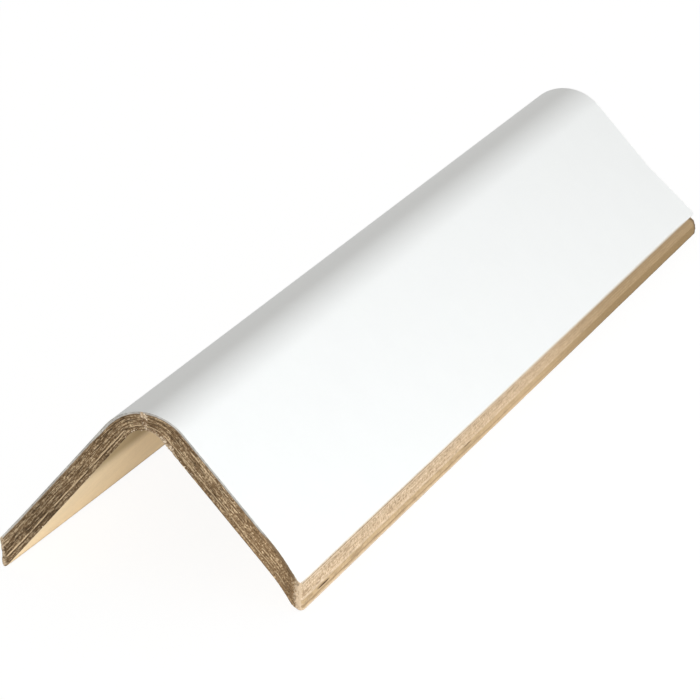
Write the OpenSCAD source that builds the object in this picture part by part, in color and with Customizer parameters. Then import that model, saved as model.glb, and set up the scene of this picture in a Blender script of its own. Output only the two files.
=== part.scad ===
// Pallet edge protector: a straight angle of laminated paperboard, with a white outer ply
// over kraft plies, folded along its middle and cut square at both ends.
// It stands ridge up on its two long edges. X runs across the legs, Y along the length.
// The origin is on the floor under the middle of the ridge.

/* [Board] */
// Width of each leg, from the sharp outer corner to the edge of the white ply
leg_w = 50; // [40:1:100]
// Length from one cut end to the other
length = 250; // [100:5:1200]

/* [Bend] */
// Angle between the inner faces of the two legs
angle = 84; // [80:1:100]
// Radius that the inner face would have round the bend at the board's full thickness
bend_r = 7; // [4:0.1:9]
// Share of its thickness that the board loses at the ridge, where the fold presses it
fold_press = 0.2; // [0:0.05:0.3]

/* [Plies] */
// Number of plies glued together, with the white one
plies = 8; // [6:1:10]
// Thickness of one ply
ply_t = 0.6; // [0.4:0.05:0.8]
// How much further each ply reaches than the ply outside it, because the fold shears them
ply_lead = 0.58; // [0.35:0.01:0.8]
// Flat ledge that each ply leaves bare under the edge of the ply outside it
ply_ledge = 0.15; // [0.05:0.05:0.3]

/* [Long edges] */
// Number of plies in the inner group, which stands out beyond the outer one
inner_plies = 3; // [2:1:4]
// Extra reach of the inner group
group_step = 0.65; // [0:0.05:1.2]
// Rounding on the edge of the innermost ply, where the board stands on the floor
nose_r = 0.45; // [0.2:0.05:0.6]

/* [Colours] */
// Colour of the outermost ply
white_ply = "white"; // [white, whitesmoke, ivory]
// Colour of the plies under it
kraft_ply = "burlywood"; // [burlywood, tan, peru]

/* [Hidden] */

// The rounding can't be larger than the ply that carries it
nose = min(nose_r, ply_t);
// Facets on each half of the rounding, which meet at its lowest line
nose_steps = 3;
// Sides of a full turn of the bend
bend_fn = 180;
// Smallest radius that the inner face can fold to
tight_r = 0.5;
// Angle by which each half of the bend laps over the ridge, to join the other half
ridge_lap = 5;

last_ply = plies - 1;
board_t = plies * ply_t;
bend_outer_r = bend_r + board_t;

// How far each leg falls from level
slope = 90 - angle / 2;

// Part of a leg's width that the bend takes up, from the sharp outer corner
bend_w = bend_outer_r * tan(slope);
// Radius of the inner face in the fold, which is tighter than the bend because the plies are pressed
fold_r = max(tight_r, bend_r - fold_press * board_t / (1 / cos(slope) - 1));
// Distance of the fold's centre from the bend's, along a level leg and square to it
fold_centre = [-(bend_r - fold_r) * tan(slope), bend_r - fold_r];
// Height of the line that the bend turns about, with the rounded edges on the floor
bend_h = (reach(last_ply) - nose) * sin(slope) - (bend_r + nose) * cos(slope) + nose;

// The section is drawn about the centre of the bend. A leg lies level on top of it, and is then
// turned down: a point on it is given by its distance past the end of the bend, and its radius.

// Radius of a ply's outer face, counted from the white ply
function radius(ply) = bend_outer_r - ply * ply_t;

// Reach of a ply's outer corner past the end of the bend
function reach(ply) = leg_w - bend_w + ply * ply_lead + (ply < plies - inner_plies ? 0 : group_step);

// Sheared edge of one ply, from its outer to its inner face
function ply_edge(ply) = ply == last_ply ? nose_edge() : [
    [reach(ply), radius(ply)],
    [reach(ply) + ply_lead - ply_ledge, radius(ply + 1)]
];

// Edge of the innermost ply: square, then rounded towards the inner face
function nose_edge() = [
    [reach(last_ply), radius(last_ply)],
    for (step = [0 : nose_steps]) nose_point((90 - slope) * step / nose_steps),
    for (step = [1 : nose_steps]) nose_point(90 - slope + slope * step / nose_steps)
];

// Point on the rounding, at an angle from the leg's own direction
function nose_point(a) = [
    reach(last_ply) - nose + nose * cos(a),
    bend_r + nose - nose * sin(a)
];

// Right leg from one ply to another: flat from the bend to its sheared edge, with a straight
// or a stepped end at the bend
module leg(first, last, bend_end) {
    linear_extrude(length, center = true)
        polygon([
            [0, radius(first)],
            for (ply = [first : last]) each ply_edge(ply),
            each bend_end
        ]);
}

// Right half of a bend between two radii, lapped over the ridge to join the left half
module half_bend(inner_r, outer_r) {
    rotate(90)
        rotate_extrude(angle = slope + ridge_lap, $fn = bend_fn)
            translate([inner_r, -length / 2])
                square([outer_r - inner_r, length]);
}

// Both halves of what is drawn on a level right leg, turned down from the ridge
module folded() {
    for (side = [0, 1])
        mirror([side, 0, 0])
            rotate(-slope)
                children();
}

// White ply, bent at its full thickness
module white_plies() {
    folded() {
        leg(0, 0, [[0, radius(1)]]);
        half_bend(radius(1), radius(0));
    }
}

// Kraft plies: round the bend outside, and pressed into a tighter fold inside.
// The two bends lap in the middle of the board.
module kraft_plies() {
    middle_r = (radius(1) + bend_r) / 2;
    folded() {
        leg(1, last_ply, [[fold_centre.x, bend_r], [fold_centre.x, middle_r]]);
        half_bend(middle_r - ply_t, radius(1));
        translate(fold_centre)
            half_bend(fold_r, middle_r - fold_centre.y);
    }
}

module edge_protector() {
    translate([0, 0, bend_h])
        rotate([90, 0, 0]) {
            color(white_ply) white_plies();
            color(kraft_ply) kraft_plies();
        }
}

edge_protector();
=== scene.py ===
import math
import random

import bmesh
import bpy
from mathutils import Euler, Matrix, Vector, noise


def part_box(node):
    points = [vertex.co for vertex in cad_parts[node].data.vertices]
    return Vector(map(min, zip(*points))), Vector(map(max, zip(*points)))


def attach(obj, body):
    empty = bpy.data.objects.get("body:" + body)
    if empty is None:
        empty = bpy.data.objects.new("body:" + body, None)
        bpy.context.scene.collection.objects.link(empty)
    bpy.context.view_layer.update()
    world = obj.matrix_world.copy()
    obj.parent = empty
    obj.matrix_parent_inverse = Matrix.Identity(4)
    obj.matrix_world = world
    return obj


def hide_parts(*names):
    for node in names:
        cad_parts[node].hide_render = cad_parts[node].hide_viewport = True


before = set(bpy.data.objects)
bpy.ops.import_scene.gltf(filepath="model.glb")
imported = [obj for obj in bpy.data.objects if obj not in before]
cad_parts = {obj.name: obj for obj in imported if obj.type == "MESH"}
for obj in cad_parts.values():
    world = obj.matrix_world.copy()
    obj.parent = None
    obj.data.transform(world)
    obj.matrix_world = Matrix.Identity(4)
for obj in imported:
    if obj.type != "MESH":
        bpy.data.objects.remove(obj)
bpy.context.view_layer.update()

# Kraft plies
# The brown body of the protector: seven layers of kraft board, glued face to face and folded together
# along the middle while damp. The fold shears them, so each reaches further than the one outside it,
# and the saw that cuts the board to length leaves their ends dark and fibrous.
MM = 0.001
low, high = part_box("edge_protector")
length = high.y - low.y
leg_w = 50 * MM
slope = math.radians(48)
bend_r = 7 * MM
fold_press = 0.2
ply_count = 8
ply_t = 0.6 * MM
ply_lead = 0.58 * MM
ply_ledge = 0.15 * MM
inner_plies = 3
group_step = 0.65 * MM
nose_r = 0.45 * MM

last_ply = ply_count - 1
ply_shear = ply_lead - ply_ledge
board_t = ply_count * ply_t
bend_outer_r = bend_r + board_t
bend_mid_r = (bend_r + bend_outer_r) / 2
half_bend = slope * bend_mid_r
# Radius of the inner face in the fold, where the plies are pressed together
fold_r = bend_r - fold_press * board_t / (1 / math.cos(slope) - 1)


def reach(ply):
    """How far the outer corner of a ply's long edge lies past the end of the bend."""
    in_inner_group = ply >= ply_count - inner_plies
    sheared = ply * ply_lead + (group_step if in_inner_group else 0)
    return leg_w - bend_outer_r * math.tan(slope) + sheared


# Height of the line that the bend turns about, with the rounded long edges on the floor
bend_h = (reach(last_ply) - nose_r) * math.sin(slope) - (bend_r + nose_r) * math.cos(slope) + nose_r


def bent_radius(turned, depth):
    """How far a point in the bend lies from the bend's centre, at an angle from the ridge.

    The white ply keeps its thickness. Those under it are pressed together towards the ridge, so
    each runs on straight from the leg for a little, and then turns about its own centre."""
    full_r = bend_outer_r - depth
    pressed = (bend_r - fold_r) * max(0, depth - ply_t) / (board_t - ply_t)
    from_leg = slope - turned
    if full_r * math.tan(from_leg) <= pressed * math.tan(slope):
        return full_r / math.cos(from_leg)
    lift = pressed / math.cos(slope)
    return lift * math.cos(turned) + math.sqrt((full_r - pressed) ** 2 - (lift * math.sin(turned)) ** 2)


def folded(flat):
    """Where a point of the flat board comes to lie.

    It is given by its place across and along the board, and its depth."""
    side = math.copysign(1, flat.x)
    past_bend = abs(flat.x) - half_bend
    if past_bend <= 0:
        turned = abs(flat.x) / bend_mid_r
        from_centre = bent_radius(turned, flat.z)
        across, up = from_centre * math.sin(turned), from_centre * math.cos(turned)
    else:
        height = bend_outer_r - flat.z
        across = past_bend * math.cos(slope) + height * math.sin(slope)
        up = height * math.cos(slope) - past_bend * math.sin(slope)
    return Vector((side * across, flat.y, bend_h + up))


# Kinds of face on a board, which are also its material slots
CUT_END, LONG_EDGE, WIDE_FACE = range(3)

# Columns and rings of the mesh: close together round the bend, at the corners and along the long edges
tip_zone = 2.4 * MM
tip_cuts = 9
leg_cuts = 82
bend_cuts = 31
ring_cuts = 40
long_edge_cuts = 7
corner_rings = [0.15 * MM, 0.35 * MM, 0.6 * MM, 0.9 * MM, 1.3 * MM, 2.0 * MM, 3.2 * MM]
# Closeness at which points of the two mirrored halves become one
seam_gap = MM / 1000


def parts_of(geometry, kind):
    """The edges or the points among what an operator gave back."""
    return [item for item in geometry if isinstance(item, kind)]


def draw_in(bm, chain, goal, cuts):
    """Draws a chain of edges in towards the ridge, and cuts the new strip into columns.

    The goal gives a point's new place across from its old one."""
    from_tip = bm.verts.layers.float["from_tip"]
    drawn = bmesh.ops.extrude_edge_only(bm, edges=chain)["geom"]
    new_chain = parts_of(drawn, bmesh.types.BMEdge)
    new_points = parts_of(drawn, bmesh.types.BMVert)
    for point in new_points:
        across = goal(point.co.x)
        point[from_tip] += point.co.x - across
        point.co.x = across
    between = [e for point in new_points for e in point.link_edges if e not in new_chain]
    bmesh.ops.subdivide_edges(bm, edges=between, cuts=cuts, use_grid_fill=True)
    return new_chain


def lay_board(edge_points):
    """A flat board, from the points of its long edge: reach past the bend and depth, outer face first.

    The long edge is drawn in to the ridge and mirrored, which makes the near cut end. The cut end is
    then drawn out to the length and cut into rings."""
    bm = bmesh.new()
    bm.verts.layers.float.new("from_tip")
    points = [bm.verts.new((half_bend + past_bend, low.y, depth)) for past_bend, depth in edge_points]
    for outer, inner in zip(points, points[1:]):
        bm.edges.new((outer, inner))
    chain = draw_in(bm, bm.edges[:], lambda across: across - tip_zone, tip_cuts)
    chain = draw_in(bm, chain, lambda across: half_bend, leg_cuts)
    draw_in(bm, chain, lambda across: 0, bend_cuts)
    right_half = bm.verts[:] + bm.edges[:] + bm.faces[:]
    bmesh.ops.mirror(bm, geom=right_half, axis="X", merge_dist=seam_gap)

    drawn = bmesh.ops.extrude_face_region(bm, geom=bm.faces[:])["geom"]
    bmesh.ops.translate(bm, verts=parts_of(drawn, bmesh.types.BMVert), vec=(0, length, 0))
    mark_faces(bm)
    lengthwise = [e for e in bm.edges if e.calc_length() > length / 2]
    bmesh.ops.subdivide_edges(bm, edges=lengthwise, cuts=ring_cuts, use_grid_fill=True)
    cut_long_edges(bm)
    return bm


def mark_faces(bm):
    """Tells the cut ends, the long edges and the two wide faces of a flat board apart."""
    outer_face = min(v.co.z for v in bm.verts)
    inner_face = max(v.co.z for v in bm.verts)
    for face in bm.faces:
        depths = {v.co.z for v in face.verts}
        if len({v.co.y for v in face.verts}) == 1:
            face.material_index = CUT_END
        elif depths == {outer_face} or depths == {inner_face}:
            face.material_index = WIDE_FACE
        else:
            face.material_index = LONG_EDGE


def cut_long_edges(bm):
    """Cuts the long edges into finer rings than the rest, closest at the corners."""
    lengthwise = [e for e in on_long_edges(bm.edges) if abs(e.verts[0].co.y - e.verts[1].co.y) > MM]
    bmesh.ops.subdivide_edges(bm, edges=lengthwise, cuts=long_edge_cuts, use_grid_fill=True)
    for inset in corner_rings:
        for y in (low.y + inset, high.y - inset):
            walls = [f for f in bm.faces if f.material_index == LONG_EDGE]
            around = walls + on_long_edges(bm.edges) + on_long_edges(bm.verts)
            bmesh.ops.bisect_plane(bm, geom=around, plane_co=(0, y, 0), plane_no=(0, 1, 0))


def on_long_edges(items):
    """The edges or points of a mesh that a face of a long edge touches, in the mesh's own order."""
    return [item for item in items if any(f.material_index == LONG_EDGE for f in item.link_faces)]


# Relief of the sawn ends and the sheared long edges, with the rates of its noise per millimetre
glue_groove = 0.07 * MM
glue_groove_width = 0.13
ply_lift = 0.06 * MM
ply_lift_rate = 0.12
ply_lift_step = 5.3
fibre_lift = 0.035 * MM
fibre_rate = 0.9
fibre_depth_rate = 4
long_edge_relief = 0.5
burr_lift = 0.3 * MM
burr_rate = 2.3

# How far crushed fibres reach in from the tips of a cut end, and from the near end of a long edge
left_tip_crush = 1.5 * MM
right_tip_crush = 2.3 * MM
near_end_crush = 1.6 * MM

# Crushed band across the ridge of the near end, in millimetres: it leans, wanders and changes its width
band_lean = 0.1
band_wander = 0.5
band_wander_rate = 0.9
band_wander_seed = 1.5
band_half_width = 0.5
band_width_change = 0.45
band_width_rate = 1.6
band_width_seed = 7.5

# Crushed inner edge beside it, in millimetres: its depth, and how far it goes down the right leg
inner_crush_depth = 0.8
inner_crush_reach = 12

# Cracks between plies on the right long edge, in millimetres: middle along it, depth, half length
# and half width
cracks = [(-116.2, 2.85, 2.6, 0.11), (-114.0, 3.55, 3.6, 0.12), (-34.0, 3.4, 3.2, 0.13)]
crack_sink = 0.3 * MM

# Three corners were spread along the length when the board was cut. At the far right one the white ply
# has kept a sharp tip, and the plies under it bulge. The left leg bows in a little between its ends.
near_spread = 1.4 * MM
near_spread_w = 5 * MM
# The innermost plies of the near left corner kept most of their place, from this share of the depth
kept_from = 0.75
kept_share = 0.7
far_tip = 3.5 * MM
far_droop = 0.55 * MM
droop_w = 4 * MM
droop_l = 8 * MM
far_bulge = 6.5 * MM
bulge_depth = 3.6 * MM
bulge_outer = 3.2 * MM
bulge_inner = 1.9 * MM
far_spread_w = 16.5 * MM
spread_l = 9 * MM
sharp_r = 0.4 * MM
left_bow = 1.2 * MM
bow_roundness = 0.7


def bell(distance, width):
    """A share that falls smoothly from 1 to nothing, about as far out as the width."""
    return math.exp(-((distance / width) ** 2))


def ply_relief(flat):
    """Height of a cut through the plies over a clean cut: grooves at the glue lines, fibres between."""
    ply, share = divmod(flat.z / ply_t, 1)
    spot = flat / MM
    lift = noise.noise(Vector((spot.x * ply_lift_rate, spot.y * ply_lift_rate, ply * ply_lift_step)))
    fibre = noise.noise(Vector((spot.x * fibre_rate, spot.y * fibre_rate, spot.z * fibre_depth_rate)))
    groove = bell(min(share, 1 - share), glue_groove_width)
    return ply_lift * lift + fibre_lift * fibre - glue_groove * groove


def crush_at(flat, from_tip):
    """How crushed the fibres of a cut end are, from 0 to 1.

    They are crushed at the tips, and at the near end round the fold too."""
    spot = flat / MM
    crush = bell(from_tip, left_tip_crush if flat.x < 0 else right_tip_crush)
    if flat.y > 0:
        return crush
    wander = noise.noise(Vector((band_wander_seed, 0, spot.z * band_wander_rate)))
    change = noise.noise(Vector((band_width_seed, 0, spot.z * band_width_rate)))
    half_width = band_half_width + band_width_change * change
    crush = max(crush, bell(spot.x - band_lean * spot.z - band_wander * wander, half_width))
    if spot.x > 0:
        at_edge = bell(board_t / MM - spot.z, inner_crush_depth)
        crush = max(crush, at_edge * math.exp(-((spot.x / inner_crush_reach) ** 4)))
    return crush


def crack_at(flat):
    """How far a point of the right long edge lies inside a crack, from 0 to 1."""
    spot = flat / MM
    if spot.x < 0:
        return 0
    share = 0
    for middle, depth, half_length, half_width in cracks:
        taper = max(0, 1 - abs(spot.y - middle) / half_length)
        share = max(share, taper**0.5 * bell(spot.z - depth, half_width))
    return share


def spread_at(flat, from_tip, from_end):
    """How far a point moved along the length as the corners were spread."""
    if flat.y < 0:
        inner_share = max(0, flat.z / board_t - kept_from) / (1 - kept_from)
        kept = kept_share * inner_share if flat.x < 0 else 0
        return near_spread * (1 - kept) * bell(from_tip, near_spread_w) * bell(from_end, spread_l)
    if flat.x < 0:
        return 0
    bulge_half = bulge_outer if flat.z < bulge_depth else bulge_inner
    bulge = far_bulge * (1 - ((flat.z - bulge_depth) / bulge_half) ** 2)
    spread = max(bulge, far_tip * (1 - flat.z / ply_t), 0)
    return spread * max(0, 1 - from_tip / far_spread_w) * bell(from_end, spread_l)


def droop_at(flat, from_tip, from_end):
    """How far the white ply hangs over the others at the far right corner."""
    if flat.x < 0 or flat.y < 0:
        return 0
    outer = max(0, 1 - flat.z / ply_t)
    return far_droop * outer * bell(from_tip, droop_w) * bell(from_end, droop_l)


def bow_at(flat):
    """How far the left leg bows in towards the right one at a point."""
    share = max(0, -flat.x - half_bend) / reach(last_ply)
    middle = math.sin(math.pi * (flat.y - low.y) / length)
    return left_bow * share * max(0, middle) ** bow_roundness


def corner_shift(from_tip, from_end, on_end, corner_r):
    """How far wear moves a point near a corner in from the tip, and in from the cut end."""
    turned = (1 - from_tip / corner_r) if on_end else (1 + from_end / corner_r)
    turn = math.radians(45) * turned
    return corner_r * (1 - math.sin(turn)) - from_tip, corner_r * (1 - math.cos(turn)) - from_end


def fold_and_wear(bm, worn_r):
    """Folds a flat board, gives its cuts their relief and its cracks, and wears the near right corner.

    Each point keeps its place in the flat board, and how crushed or cracked the board is there."""
    from_tip = bm.verts.layers.float["from_tip"]
    flat_place = bm.verts.layers.float_vector.new("flat_place")
    crushed = bm.verts.layers.float.new("crushed")
    cracked = bm.verts.layers.float.new("cracked")
    for vert in bm.verts:
        flat = vert.co.copy()
        kinds = {f.material_index for f in vert.link_faces}
        on_end, on_edge = CUT_END in kinds, LONG_EDGE in kinds
        leg_way = Vector((math.copysign(math.cos(slope), flat.x), 0, -math.sin(slope)))
        end_way = Vector((0, math.copysign(1, flat.y), 0))
        from_end = length / 2 - abs(flat.y)
        corner_r = worn_r if flat.x > 0 and flat.y < 0 else sharp_r
        vert[flat_place] = flat / MM
        vert.co = folded(flat) + end_way * spread_at(flat, vert[from_tip], from_end)
        vert.co += leg_way * droop_at(flat, vert[from_tip], from_end)
        vert.co.x += bow_at(flat)
        if on_end:
            vert[crushed] = crush_at(flat, vert[from_tip])
            burr = burr_lift * vert[crushed] * noise.noise(flat / MM * burr_rate)
            vert.co += end_way * (ply_relief(flat) + burr)
        if on_edge:
            vert[crushed] = max(vert[crushed], bell(flat.y - low.y, near_end_crush))
            vert[cracked] = crack_at(flat)
            vert.co += leg_way * (ply_relief(flat) * long_edge_relief - crack_sink * vert[cracked])
        if (on_end and vert[from_tip] < corner_r) or (on_edge and from_end < corner_r):
            tip_shift, end_shift = corner_shift(vert[from_tip], from_end, on_end, corner_r)
            vert.co -= leg_way * tip_shift + end_way * end_shift
    bm.verts.layers.float.remove(from_tip)
    bmesh.ops.recalc_face_normals(bm, faces=bm.faces[:])


def make_object(name, bm, materials):
    """A finished piece, smooth all over but for hard lines where a wide face meets a cut."""
    for face in bm.faces:
        face.smooth = True
    for edge in bm.edges:
        kinds = {f.material_index for f in edge.link_faces}
        edge.smooth = len(kinds) == 1 or WIDE_FACE not in kinds
    mesh = bpy.data.meshes.new(name)
    bm.to_mesh(mesh)
    bm.free()
    for material in materials:
        mesh.materials.append(material)
    piece = bpy.data.objects.new(name, mesh)
    bpy.context.scene.collection.objects.link(piece)
    return piece


def add_node(tree, kind, sockets, **settings):
    """A shader node with its own settings, whose input sockets take a value or a link."""
    node = tree.nodes.new("ShaderNode" + kind)
    for name, value in settings.items():
        setattr(node, name, value)
    for socket, value in sockets.items():
        if isinstance(value, bpy.types.NodeSocket):
            tree.links.new(value, node.inputs[socket])
        else:
            node.inputs[socket].default_value = value
    return node


def calculate(tree, operation, *values):
    """A number worked out from other numbers."""
    return add_node(tree, "Math", dict(enumerate(values)), operation=operation).outputs["Value"]


def ramp(tree, value, start, end):
    """A share that rises smoothly from 0 at start to 1 at end."""
    sockets = {"Value": value, "From Min": start, "From Max": end}
    return add_node(tree, "MapRange", sockets, interpolation_type="SMOOTHSTEP").outputs["Result"]


def blend_values(tree, share, first, second):
    """A number that goes from the first to the second as the share rises to 1."""
    return calculate(tree, "MULTIPLY_ADD", share, second - first, first)


# Share of a line's half width that has its full strength
line_core = 0.3


def line_at(tree, value, place, half_width):
    """A share that is 1 where a value is at a place, and 0 past the half width."""
    away = calculate(tree, "ABSOLUTE", calculate(tree, "SUBTRACT", value, place))
    return ramp(tree, away, half_width, half_width * line_core)


def product(tree, *shares):
    """Several shares multiplied together."""
    result = shares[0]
    for share in shares[1:]:
        result = calculate(tree, "MULTIPLY", result, share)
    return result


# Sockets of a Mix node that hold its colours; the ones before them are for numbers and vectors
FIRST_COLOUR, SECOND_COLOUR, MIXED_COLOUR = 6, 7, 2


def blend_colours(tree, share, first, second):
    """The first colour, going over to the second as the share rises to 1."""
    node = add_node(tree, "Mix", {"Factor": share}, data_type="RGBA")
    for socket, colour in ((FIRST_COLOUR, first), (SECOND_COLOUR, second)):
        if isinstance(colour, bpy.types.NodeSocket):
            tree.links.new(colour, node.inputs[socket])
        else:
            node.inputs[socket].default_value = colour
    return node.outputs[MIXED_COLOUR]


def tint(tree, colour, strength):
    """A colour made brighter or darker by a factor."""
    node = add_node(tree, "VectorMath", {0: colour, "Scale": strength}, operation="SCALE")
    return node.outputs["Vector"]


def stretched_noise(tree, along, depth, seed, along_rate, depth_rate, detail=2):
    """Noise with its own rates along and through the board, per millimetre."""
    place = {
        "X": calculate(tree, "MULTIPLY", along, along_rate),
        "Y": calculate(tree, "MULTIPLY", depth, depth_rate),
        "Z": seed,
    }
    vector = add_node(tree, "CombineXYZ", place).outputs["Vector"]
    return add_node(tree, "TexNoise", {"Vector": vector, "Scale": 1, "Detail": detail}).outputs["Fac"]


def new_group(name, inputs, outputs):
    """A shader node group with named sockets: its tree, and its input and output nodes."""
    tree = bpy.data.node_groups.new(name, "ShaderNodeTree")
    for socket, kind in inputs.items():
        tree.interface.new_socket(socket, in_out="INPUT", socket_type="NodeSocket" + kind)
    for socket, kind in outputs.items():
        tree.interface.new_socket(socket, in_out="OUTPUT", socket_type="NodeSocket" + kind)
    return tree, tree.nodes.new("NodeGroupInput"), tree.nodes.new("NodeGroupOutput")


def new_material(name, roughness, specular):
    """A material with a plain Principled BSDF: its tree and that shader."""
    material = bpy.data.materials.new(name)
    material.use_nodes = True
    shader = material.node_tree.nodes["Principled BSDF"]
    shader.inputs["Roughness"].default_value = roughness
    shader.inputs["Specular IOR Level"].default_value = specular
    return material, material.node_tree, shader


def use_group(tree, group, **sockets):
    """Places a shared effect in a material, with a value or a link for each of its inputs."""
    node = add_node(tree, "Group", {}, node_tree=group)
    for socket, value in sockets.items():
        target = node.inputs[socket.replace("_", " ").capitalize()]
        if isinstance(value, bpy.types.NodeSocket):
            tree.links.new(value, target)
        else:
            target.default_value = value
    return node


def kept_value(tree, name, output):
    """A value that the mesh keeps for each of its points."""
    return add_node(tree, "Attribute", {}, attribute_name=name).outputs[output]


def board_place(tree):
    """Across, along the length and depth of a point in the flat board, in millimetres."""
    return add_node(tree, "SeparateXYZ", {"Vector": kept_value(tree, "flat_place", "Vector")}).outputs


def paint(tree, shader, colour, height, strength, distance):
    """Gives a shader its colour, and a bump from a height."""
    bump = add_node(tree, "Bump", {"Height": height, "Strength": strength, "Distance": distance})
    tree.links.new(colour, shader.inputs["Base Color"])
    tree.links.new(bump.outputs["Normal"], shader.inputs["Normal"])


# Middle of a noise, which runs from 0 to 1, and of the tones between dark and light
noise_middle = 0.5
middle_tone = 0.5
# Glue lines are a little more often pale than dark
glue_line_middle = 0.45
half_ply = 0.5
pale_thread_strength = 0.8

# Cut plies, as an effect: streaks of fibre along each layer, with a wavering glue line between layers
cut_plies, given, result = new_group(
    "Cut plies",
    {
        "Along": "Float",
        "Depth": "Float",
        "Waver": "Float",
        "Streaks": "Float",
        "Speckle": "Float",
        "Glue lines": "Float",
        "Dark": "Color",
        "Middle": "Color",
        "Light": "Color",
    },
    {"Color": "Color", "Height": "Float"},
)
along, depth = given.outputs["Along"], given.outputs["Depth"]
waver = stretched_noise(cut_plies, along, depth, seed=0.3, along_rate=0.16, depth_rate=0.5)
waver = calculate(cut_plies, "SUBTRACT", waver, noise_middle)
bent_depth = calculate(cut_plies, "MULTIPLY_ADD", waver, given.outputs["Waver"], depth)
ply_number = calculate(cut_plies, "DIVIDE", bent_depth, ply_t / MM)
from_line = calculate(cut_plies, "PINGPONG", ply_number, half_ply)
glue_line = ramp(cut_plies, from_line, start=0.3, end=0.08)
nearest_line = calculate(cut_plies, "ROUND", ply_number)
line_tone = stretched_noise(cut_plies, along, nearest_line, seed=4.1, along_rate=0.14, depth_rate=3.7)
line_tone = calculate(cut_plies, "SUBTRACT", line_tone, glue_line_middle)
lines = product(cut_plies, glue_line, line_tone)
tone = calculate(cut_plies, "MULTIPLY_ADD", lines, given.outputs["Glue lines"], middle_tone)
long_streaks = stretched_noise(cut_plies, along, bent_depth, seed=1.7, along_rate=0.2, depth_rate=2.2)
short_streaks = stretched_noise(
    cut_plies, along, bent_depth, seed=6.2, along_rate=0.6, depth_rate=2.8, detail=1
)
streaks = calculate(cut_plies, "ADD", long_streaks, short_streaks)
streaks = calculate(cut_plies, "SUBTRACT", streaks, 2 * noise_middle)
tone = calculate(cut_plies, "MULTIPLY_ADD", streaks, given.outputs["Streaks"], tone)
speckle = stretched_noise(cut_plies, along, depth, seed=9.4, along_rate=2.8, depth_rate=3.2, detail=1)
speckle = calculate(cut_plies, "SUBTRACT", speckle, noise_middle)
tone = calculate(cut_plies, "MULTIPLY_ADD", speckle, given.outputs["Speckle"], tone)
dark_share = ramp(cut_plies, tone, start=0.55, end=0.05)
shade = blend_colours(cut_plies, dark_share, given.outputs["Middle"], given.outputs["Dark"])
light_share = ramp(cut_plies, tone, start=0.5, end=0.9)
shade = blend_colours(cut_plies, light_share, shade, given.outputs["Light"])
pale_threads = stretched_noise(
    cut_plies, along, bent_depth, seed=7.9, along_rate=0.55, depth_rate=4.2, detail=1
)
pale_threads = ramp(cut_plies, pale_threads, start=0.55, end=0.64)
pale_threads = product(cut_plies, pale_threads, given.outputs["Streaks"], pale_thread_strength)
shade = blend_colours(cut_plies, pale_threads, shade, given.outputs["Light"])
dark_threads = stretched_noise(
    cut_plies, along, bent_depth, seed=3.3, along_rate=0.35, depth_rate=3.6, detail=1
)
dark_threads = ramp(cut_plies, dark_threads, start=0.42, end=0.34)
dark_threads = product(cut_plies, dark_threads, given.outputs["Streaks"])
shade = blend_colours(cut_plies, dark_threads, shade, given.outputs["Dark"])
cut_plies.links.new(shade, result.inputs["Color"])
cut_plies.links.new(tone, result.inputs["Height"])

# Paper fibres, as an effect: a fine mottle with a few flecks, on a face that was never cut
paper_fibres, given, result = new_group(
    "Paper fibres",
    {"Place": "Vector", "Mottle": "Float", "Flecks": "Float", "Paper": "Color", "Fleck": "Color"},
    {"Color": "Color", "Height": "Float"},
)
place = given.outputs["Place"]
grain = add_node(paper_fibres, "TexNoise", {"Vector": place, "Scale": 1.5, "Detail": 3}).outputs["Fac"]
spots = add_node(paper_fibres, "TexNoise", {"Vector": place, "Scale": 1.4, "Detail": 1}).outputs["Fac"]
cloud = add_node(paper_fibres, "TexNoise", {"Vector": place, "Scale": 0.12, "Detail": 2}).outputs["Fac"]
mottle = calculate(paper_fibres, "ADD", grain, cloud)
mottle = calculate(paper_fibres, "SUBTRACT", mottle, 2 * noise_middle)
brightness = calculate(paper_fibres, "MULTIPLY_ADD", mottle, given.outputs["Mottle"], 1)
paper = tint(paper_fibres, given.outputs["Paper"], brightness)
fleck_share = ramp(paper_fibres, spots, start=0.66, end=0.78)
fleck_share = product(paper_fibres, fleck_share, given.outputs["Flecks"])
paper = blend_colours(paper_fibres, fleck_share, paper, given.outputs["Fleck"])
paper_fibres.links.new(paper, result.inputs["Color"])
paper_fibres.links.new(grain, result.inputs["Height"])

# How far the noise goes beyond what is crushed in making crumbs
crumb_contrast = 2


def crumb_share(tree, along, depth, along_rate):
    """Where crushed fibres have broken up into pale crumbs."""
    patches = stretched_noise(tree, along, depth, seed=2.5, along_rate=along_rate, depth_rate=2.4)
    crushed = kept_value(tree, "crushed", "Fac")
    crumbs = calculate(tree, "MULTIPLY_ADD", patches, crumb_contrast, crushed)
    return ramp(tree, crumbs, start=1.5, end=1.85)


kraft_roughness = 0.85
kraft_specular = 0.2
crushed_fibre = (0.58, 0.44, 0.30, 1)

# Sawn ends: dark and fibrous, smoother and lighter towards the right tip and darker at the left one
cut_dark = (0.06, 0.035, 0.017, 1)
cut_middle = (0.235, 0.145, 0.072, 1)
cut_light = (0.76, 0.57, 0.36, 1)
left_leg_tone = 0.88
right_leg_tone = 0.93
right_tip_tone = 1.22
left_tip_tone = 0.70
split_wander = 0.7
split_pale = 0.8
# Strength of the painted shadow along the inner edge of the left leg
left_edge_shadow_strength = 0.8

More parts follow.
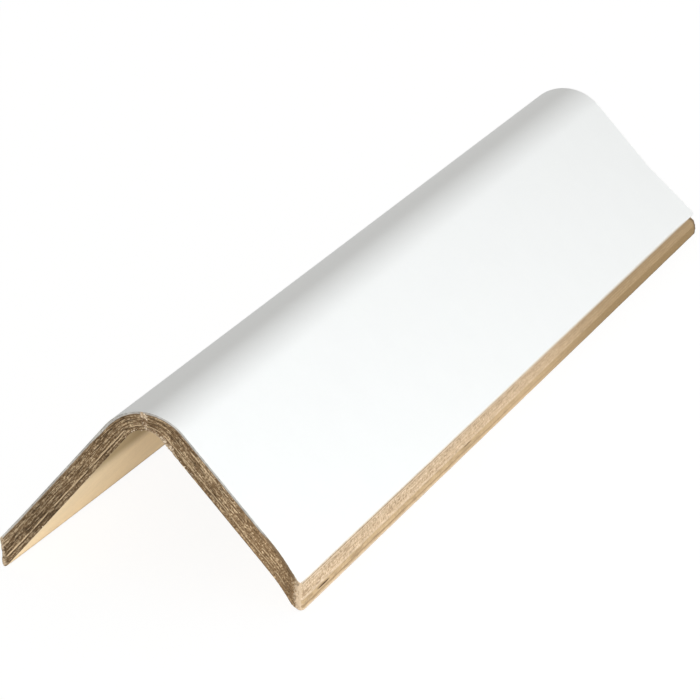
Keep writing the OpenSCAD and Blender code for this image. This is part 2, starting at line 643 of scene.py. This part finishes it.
kraft_cut_end, tree, shader = new_material("kraft_cut_end", kraft_roughness, kraft_specular)
across, _, depth = board_place(tree)
right_share = ramp(tree, across, start=-6, end=6)
smooth_share = ramp(tree, across, start=18, end=32)
plies = use_group(
    tree,
    cut_plies,
    along=across,
    depth=depth,
    waver=0.3,
    streaks=blend_values(tree, smooth_share, 0.65, 0.25),
    speckle=0.95,
    glue_lines=blend_values(tree, smooth_share, 1.5, 0.9),
    dark=cut_dark,
    middle=cut_middle,
    light=cut_light,
)
leg_tone = blend_values(tree, right_share, left_leg_tone, right_leg_tone)
leg_tone = calculate(tree, "MULTIPLY_ADD", smooth_share, right_tip_tone - right_leg_tone, leg_tone)
left_tip_share = ramp(tree, across, start=-20, end=-33)
leg_tone = calculate(tree, "MULTIPLY_ADD", left_tip_share, left_tip_tone - left_leg_tone, leg_tone)
colour = tint(tree, plies.outputs["Color"], leg_tone)
# The inner group of plies has come a little loose: a pale line, with painted shade for the gap beside it
split_waver = stretched_noise(tree, across, depth, seed=5.5, along_rate=0.11, depth_rate=0)
split_depth = calculate(tree, "SUBTRACT", depth, split_wander * noise_middle)
split_depth = calculate(tree, "MULTIPLY_ADD", split_waver, split_wander, split_depth)
split_share = stretched_noise(tree, across, depth, seed=8.1, along_rate=0.3, depth_rate=0)
split_share = ramp(tree, split_share, start=0.38, end=0.5)
gap_shade_share = product(tree, split_share, blend_values(tree, right_share, 0.65, 0.25))
gap_shade_line = line_at(tree, split_depth, place=3.8, half_width=0.2)
colour = blend_colours(tree, product(tree, gap_shade_line, gap_shade_share), colour, cut_dark)
pale_share = product(tree, split_share, split_pale)
pale_line = line_at(tree, split_depth, place=3.55, half_width=0.17)
colour = blend_colours(tree, product(tree, pale_line, pale_share), colour, cut_light)
# Painted shadow along the inner edge of the left leg, in patches
left_share = calculate(tree, "SUBTRACT", 1, right_share)
left_edge_shadow = product(tree, ramp(tree, depth, start=4.5, end=4.75), left_share)
edge_patches = stretched_noise(tree, across, depth, seed=3.7, along_rate=0.7, depth_rate=0)
left_edge_shadow = product(tree, left_edge_shadow, ramp(tree, edge_patches, start=0.3, end=0.6))
colour = blend_colours(tree, product(tree, left_edge_shadow, left_edge_shadow_strength), colour, cut_dark)
colour = blend_colours(tree, crumb_share(tree, across, depth, along_rate=2.2), colour, crushed_fibre)
paint(tree, shader, colour, plies.outputs["Height"], strength=0.6, distance=0.25 * MM)

# Sheared long edges: speckled at the near end and even at the far one. Painted shade darkens them
# towards the far end, most of all in the lower rim, the inner group and the last millimetres. The inner
# group of plies is golden, and the white of the liner runs out in a soft rim.
shear_dark = (0.24, 0.16, 0.09, 1)
shear_middle = (0.50, 0.367, 0.238, 1)
shear_light = (0.68, 0.535, 0.385, 1)
golden_kraft = (0.50, 0.355, 0.195, 1)
# Painted shade inside the cracks
crack_shade = (0.10, 0.06, 0.03, 1)
# Painted shade towards the far end of the long edge: a tint over all of it, and a dark brown for its
# lower rim
far_shade_tint = (0.69, 0.65, 0.55, 1)
no_tint = (1, 1, 1, 1)
far_edge_shade = (0.17, 0.115, 0.06, 1)
rim_white = (0.80, 0.79, 0.76, 1)
shear_rate = 0.75
golden_strength = 0.75
hatch_strength = 0.45
# Strengths of painted shade at the far end: in the inner group, on the lower rim and on the end rim
far_group_shade = 0.4
far_shade_strength = 0.7
far_rim_shade_strength = 0.7
# Lines along the right long edge: depth and half width in millimetres, and strength. Of the pale ones,
# the lines at 3.0 and 4.25 are painted highlights, on the ledge of the inner group and on the rounded
# nose
pale_lines_and_highlights = [(0.74, 0.13, 0.8), (3.0, 0.12, 0.4), (4.25, 0.12, 0.9)]
dark_lines = [(0.46, 0.12, 0.7), (3.85, 0.16, 0.65)]

kraft_long_edge, tree, shader = new_material("kraft_long_edge", kraft_roughness, kraft_specular)
_, lengthwise, depth = board_place(tree)
near_share = ramp(tree, lengthwise, start=100, end=-110)
plies = use_group(
    tree,
    cut_plies,
    along=calculate(tree, "MULTIPLY", lengthwise, shear_rate),
    depth=depth,
    waver=0.1,
    streaks=blend_values(tree, near_share, 0.15, 0.45),
    speckle=blend_values(tree, near_share, 0.1, 1.45),
    glue_lines=blend_values(tree, near_share, 0.1, 0.5),
    dark=shear_dark,
    middle=shear_middle,
    light=shear_light,
)
outer_light = blend_values(tree, ramp(tree, depth, start=1, end=2.4), 1, 1.12)
colour = tint(tree, plies.outputs["Color"], outer_light)
inner_group = ramp(tree, depth, start=2.95, end=3.1)
colour = blend_colours(tree, product(tree, inner_group, golden_strength), colour, golden_kraft)
hatch = stretched_noise(tree, lengthwise, depth, seed=3.3, along_rate=0.3, depth_rate=2.2, detail=3)
hatch = ramp(tree, hatch, start=0.45, end=0.65)
hatch = product(tree, hatch, inner_group, near_share, hatch_strength)
colour = blend_colours(tree, hatch, colour, shear_dark)
# Pale and dark lines along the edge; two of the pale ones are painted highlights
for edge_lines, line_colour in ((pale_lines_and_highlights, shear_light), (dark_lines, shear_dark)):
    for place, half_width, strength in edge_lines:
        line_share = product(tree, line_at(tree, depth, place, half_width), near_share, strength)
        colour = blend_colours(tree, line_share, colour, line_colour)
# Painted shade: the long edge darkens towards the far end, most of all along its lower rim and in the
# inner group
far_shade_share = ramp(tree, lengthwise, start=-5, end=72)
far_shade = blend_colours(tree, far_shade_share, no_tint, far_shade_tint)
colour = add_node(tree, "VectorMath", {0: colour, 1: far_shade}, operation="MULTIPLY").outputs["Vector"]
far_bottom_shade = ramp(tree, depth, start=4.15, end=4.4)
far_bottom_shade = calculate(tree, "MULTIPLY_ADD", inner_group, far_group_shade, far_bottom_shade)
colour = blend_colours(tree, product(tree, far_bottom_shade, far_shade_share, far_shade_strength), colour, far_edge_shade)
rim_end = blend_values(tree, near_share, 0.95, 0.5)
rim_share = ramp(tree, depth, start=rim_end, end=-0.15)
colour = blend_colours(tree, rim_share, colour, rim_white)
# Painted shade on the last millimetres of the long edge at the far end, where it turns away
far_rim_shade = product(tree, ramp(tree, lengthwise, start=123, end=124.8), far_rim_shade_strength)
colour = blend_colours(tree, far_rim_shade, colour, cut_dark)
colour = blend_colours(tree, crumb_share(tree, lengthwise, depth, along_rate=1.5), colour, crushed_fibre)
# Painted shade inside the cracks, over the sunk geometry
crack_shade_share = ramp(tree, kept_value(tree, "cracked", "Fac"), start=0.3, end=0.65)
colour = blend_colours(tree, crack_shade_share, colour, crack_shade)
paint(tree, shader, colour, plies.outputs["Height"], strength=0.3, distance=0.15 * MM)

# Inner face: plain kraft paper, with painted shade in the fold
inner_kraft = (0.80, 0.645, 0.43, 1)
inner_fleck = (0.50, 0.33, 0.17, 1)
fold_shade_colour = (0.36, 0.262, 0.135, 1)

kraft_inner_face, tree, shader = new_material("kraft_inner_face", kraft_roughness, kraft_specular)
place = kept_value(tree, "flat_place", "Vector")
fibres = use_group(
    tree, paper_fibres, place=place, mottle=0.2, flecks=0.2, paper=inner_kraft, fleck=inner_fleck
)
from_ridge = calculate(tree, "ABSOLUTE", board_place(tree)["X"])
# Painted shade deep in the fold
fold_shade_share = ramp(tree, from_ridge, start=25, end=13)
colour = blend_colours(tree, fold_shade_share, fibres.outputs["Color"], fold_shade_colour)
paint(tree, shader, colour, fibres.outputs["Height"], strength=0.15, distance=0.1 * MM)

# Long edge of the plies from the white liner inwards: each one slants, and the last ends in a rounded
# nose. The plies of the inner group have slumped back over most of their step.
ply_edge_shares = [0, 0.12, 0.3, 0.5, 0.7, 0.88]
nose_steps = 5
slump = 0.5 * MM
kraft_worn_r = 2.2 * MM


def slumped_reach(ply, share):
    """Reach of a ply's edge at a share of its thickness."""
    in_group = (ply + share - (ply_count - inner_plies)) / inner_plies
    return reach(ply) + ply_shear * share - (slump * (1 - in_group) if in_group >= 0 else 0)


plies_edge = []
for ply in range(1, last_ply):
    for share in ply_edge_shares:
        plies_edge.append((slumped_reach(ply, share), ply_t * (ply + share)))
plies_edge.append((slumped_reach(last_ply, 0), ply_t * last_ply))
for step in range(nose_steps + 1):
    turn = math.radians(90) * step / nose_steps
    nose_reach = reach(last_ply) - nose_r * (1 - math.cos(turn))
    plies_edge.append((nose_reach, board_t - nose_r * (1 - math.sin(turn))))

kraft_mesh = lay_board(plies_edge)
fold_and_wear(kraft_mesh, kraft_worn_r)
kraft_plies = make_object(
    "kraft_plies", kraft_mesh, [kraft_cut_end, kraft_long_edge, kraft_inner_face]
)
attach(kraft_plies, "root")
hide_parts("edge_protector")

# White liner
# The outermost ply: smooth white paper board, glued over the whole outer face and folded with the rest.
# Its sawn ends are a dirty white, and its sheared long edges have taken on the brown of the plies.
white_paper = (0.87, 0.875, 0.875, 1)
white_fleck = (0.80, 0.80, 0.79, 1)
white_roughness = 0.55
white_specular = 0.35
liner_cut = (0.50, 0.48, 0.45, 1)
liner_cut_fleck = (0.25, 0.2, 0.15, 1)
liner_stain = (0.27, 0.185, 0.11, 1)
# How much more the ridge of the cut end is stained, and how much less the left leg is close beside it
ridge_stain = 0.3
left_stain = -0.8

white_face, tree, shader = new_material("white_face", white_roughness, white_specular)
place = kept_value(tree, "flat_place", "Vector")
fibres = use_group(
    tree, paper_fibres, place=place, mottle=0.02, flecks=0.2, paper=white_paper, fleck=white_fleck
)
paint(tree, shader, fibres.outputs["Color"], fibres.outputs["Height"], strength=0.05, distance=0.05 * MM)

liner_cut_end, tree, shader = new_material("liner_cut_end", kraft_roughness, kraft_specular)
place = kept_value(tree, "flat_place", "Vector")
across, _, depth = board_place(tree)
fibres = use_group(
    tree, paper_fibres, place=place, mottle=0.9, flecks=0.9, paper=liner_cut, fleck=liner_cut_fleck
)
tip_share = ramp(tree, across, start=31, end=36)
stained = calculate(tree, "ADD", tip_share, ramp(tree, depth, start=0.3, end=0.55))
at_ridge = line_at(tree, across, place=0, half_width=3)
stained = calculate(tree, "MULTIPLY_ADD", at_ridge, ridge_stain, stained)
beside_ridge = line_at(tree, across, place=-8, half_width=6)
stained = calculate(tree, "MULTIPLY_ADD", beside_ridge, left_stain, stained)
blots = stretched_noise(tree, across, depth, seed=1.1, along_rate=0.9, depth_rate=1.5, detail=3)
stained = calculate(tree, "ADD", stained, blots)
stain_share = ramp(tree, stained, start=0.6, end=1.1)
colour = blend_colours(tree, stain_share, fibres.outputs["Color"], liner_stain)
patches = stretched_noise(tree, across, depth, seed=2.5, along_rate=2.6, depth_rate=2.8, detail=4)
crumbs = calculate(tree, "ADD", kept_value(tree, "crushed", "Fac"), patches)
colour = blend_colours(tree, ramp(tree, crumbs, start=1.0, end=1.3), colour, crushed_fibre)
paint(tree, shader, colour, fibres.outputs["Height"], strength=0.4, distance=0.15 * MM)

liner_edge_shares = [0, 0.1, 0.35, 0.65, 1]
liner_worn_r = 0.4 * MM
liner_edge = [(reach(0) + ply_lead * share, ply_t * share) for share in liner_edge_shares]
liner_mesh = lay_board(liner_edge)
fold_and_wear(liner_mesh, liner_worn_r)
white_liner = make_object("white_liner", liner_mesh, [liner_cut_end, kraft_long_edge, white_face])
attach(white_liner, "root")
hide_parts("edge_protector")

# Torn fibres
# Crumbs of kraft fibre that the saw tore up on the near cut end and left hanging: in a burr across the
# ridge, along the inner edge on both sides of it, and further down the left leg's inner edge.
crumb_pale = (0.80, 0.655, 0.49, 1)
crumb_brown = (0.26, 0.165, 0.09, 1)
patches_per_m = 1100
crumb_long = (0.7, 1.6)
crumb_thin = (0.6, 1.1)
random.seed(11)


def hang_crumbs(bm, count, across, depth, size):
    """Hangs crumbs on the near cut end, in ranges across it, of depth and of size, in millimetres."""
    for _ in range(count):
        spot = Vector((random.uniform(*across) * MM, low.y, random.triangular(*depth) * MM))
        radius = random.uniform(*size) * MM
        crumb = bmesh.ops.create_icosphere(bm, subdivisions=1, radius=radius)["verts"]
        stretch = [random.uniform(*limits) for limits in (crumb_long, crumb_thin, crumb_thin)]
        turn = Euler([random.uniform(0, math.tau) for _ in range(3)]).to_matrix()
        bmesh.ops.scale(bm, verts=crumb, vec=stretch)
        bmesh.ops.rotate(bm, verts=crumb, cent=(0, 0, 0), matrix=turn)
        bmesh.ops.translate(bm, verts=crumb, vec=folded(spot))


torn_fibre, tree, shader = new_material("torn_fibre", kraft_roughness, kraft_specular)
place = add_node(tree, "TexCoord", {}).outputs["Object"]
patch_noise = {"Vector": place, "Scale": patches_per_m, "Detail": 2}
patches = add_node(tree, "TexNoise", patch_noise).outputs["Fac"]
colour = blend_colours(tree, ramp(tree, patches, start=0.58, end=0.44), crumb_pale, crumb_brown)
paint(tree, shader, colour, patches, strength=0.3, distance=0.1 * MM)

crumb_mesh = bmesh.new()
# Across the ridge, then down the inner edge of the right leg, then of the left one
hang_crumbs(crumb_mesh, count=100, across=(-0.5, 0.8), depth=(0, 4.3), size=(0.08, 0.21))
hang_crumbs(crumb_mesh, count=120, across=(0.5, 8.5), depth=(3.6, 4.75), size=(0.08, 0.23))
hang_crumbs(crumb_mesh, count=10, across=(8, 16), depth=(4.2, 4.65), size=(0.08, 0.16))
hang_crumbs(crumb_mesh, count=12, across=(-6, -0.5), depth=(4.3, 4.8), size=(0.08, 0.2))
hang_crumbs(crumb_mesh, count=16, across=(-36, -14), depth=(4.65, 4.85), size=(0.07, 0.15))
torn_fibres = make_object("torn_fibres", crumb_mesh, [torn_fibre])
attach(torn_fibres, "root")
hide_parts("edge_protector")

# Floor
# A plain white sweep under the object, which keeps its shadow.
floor_size = 6
floor_seen = 0.915
floor_seen_paint = (0.15, 0.15, 0.15, 1)
floor_paint = (0.88, 0.88, 0.88, 1)


def seen_directly(tree):
    """1 for a ray from the camera, a reflection or glass, which sees the white background."""
    path = add_node(tree, "LightPath", {}).outputs
    seen = calculate(tree, "MAXIMUM", path["Is Camera Ray"], path["Is Glossy Ray"])
    return calculate(tree, "MAXIMUM", seen, path["Is Transmission Ray"])


floor_mesh = bmesh.new()
bmesh.ops.create_grid(floor_mesh, x_segments=1, y_segments=1, size=floor_size / 2)
floor_data = bpy.data.meshes.new("floor")
floor_mesh.to_mesh(floor_data)
floor_mesh.free()
floor_white = bpy.data.materials.new("floor_white")
floor_white.use_nodes = True
tree = floor_white.node_tree
tree.nodes.remove(tree.nodes["Principled BSDF"])
seen_paint = add_node(tree, "BsdfDiffuse", {"Color": floor_seen_paint}).outputs["BSDF"]
glow = add_node(tree, "Emission", {"Strength": floor_seen}).outputs["Emission"]
seen_floor = add_node(tree, "AddShader", {0: seen_paint, 1: glow}).outputs["Shader"]
lit_floor = add_node(tree, "BsdfDiffuse", {"Color": floor_paint}).outputs["BSDF"]
mixed = add_node(tree, "MixShader", {0: seen_directly(tree), 1: lit_floor, 2: seen_floor})
tree.links.new(mixed.outputs["Shader"], tree.nodes["Material Output"].inputs["Surface"])
floor_data.materials.append(floor_white)
floor = bpy.data.objects.new("floor", floor_data)
bpy.context.scene.collection.objects.link(floor)

# Studio light
# A white room that lights from all round, two long soft lamps low on the right and on the near right,
# and a dim strip on the floor under the fold, for the light that a white table throws up inside.
room_light = 0.575
room_colour = (1, 0.998, 0.97, 1)
seen_room_light = 1
seen_room_colour = (1, 1, 1, 1)
lamp_colour = (0.97, 1, 1.02)
key_place = Vector((0.43, -0.2, 0.022))
key_way = Vector((-1, 0, 0))
key_size = (1, 0.04)
key_power = 1.52
front_place = Vector((0.52, -0.6, 0.025))
front_way = Vector((-0.74, 0.67, 0))
front_size = (0.4, 0.04)
front_power = 1.76
fill_place = Vector((0, -0.01, MM))
fill_way = Vector((0, 0, 1))
fill_size = (0.065, 0.24)
fill_power = 0.0157
fill_colour = (1, 1, 1)

room = bpy.data.worlds.new("white_room")
room.use_nodes = True
tree = room.node_tree
background = tree.nodes["Background"]
seen = seen_directly(tree)
seen_light = {"Value": seen, "To Min": room_light, "To Max": seen_room_light}
strength = add_node(tree, "MapRange", seen_light).outputs["Result"]
tree.links.new(blend_colours(tree, seen, room_colour, seen_room_colour), background.inputs["Color"])
tree.links.new(strength, background.inputs["Strength"])
bpy.context.scene.world = room


def add_lamp(name, place, way, size, power, colour):
    """A soft rectangular lamp that shines one way, and that the camera doesn't see."""
    lamp = bpy.data.objects.new(name, bpy.data.lights.new(name, "AREA"))
    lamp.data.shape = "RECTANGLE"
    lamp.data.size, lamp.data.size_y = size
    lamp.data.energy = power
    lamp.data.color = colour
    lamp.matrix_world = Matrix.Translation(place) @ way.to_track_quat("-Z", "Y").to_matrix().to_4x4()
    lamp.visible_camera = False
    bpy.context.scene.collection.objects.link(lamp)


add_lamp("key_lamp", key_place, key_way, key_size, key_power, lamp_colour)
add_lamp("front_lamp", front_place, front_way, front_size, front_power, lamp_colour)
add_lamp("fill_lamp", fill_place, fill_way, fill_size, fill_power, fill_colour)

# Camera
# A long lens from the near right, a little above, turned slightly about its own axis.
azimuth = math.radians(23.344)
elevation = math.radians(19.847)
roll = math.radians(-1.392)
distance = 774.4 * MM
lens_mm = 178.921
sensor_mm = 36
aim = Vector((3.882, -30.184, 19)) * MM
back = Vector((
    math.sin(azimuth) * math.cos(elevation),
    -math.cos(azimuth) * math.cos(elevation),
    math.sin(elevation),
))
camera = bpy.data.objects.new("camera", bpy.data.cameras.new("camera"))
camera.data.lens = lens_mm
camera.data.sensor_width = sensor_mm
turn = (-back).to_track_quat("-Z", "Y").to_matrix() @ Matrix.Rotation(roll, 3, "Z")
camera.matrix_world = Matrix.Translation(aim + back * distance) @ turn.to_4x4()
bpy.context.scene.collection.objects.link(camera)
bpy.context.scene.camera = camera
bpy.context.scene.view_settings.view_transform = "Standard"
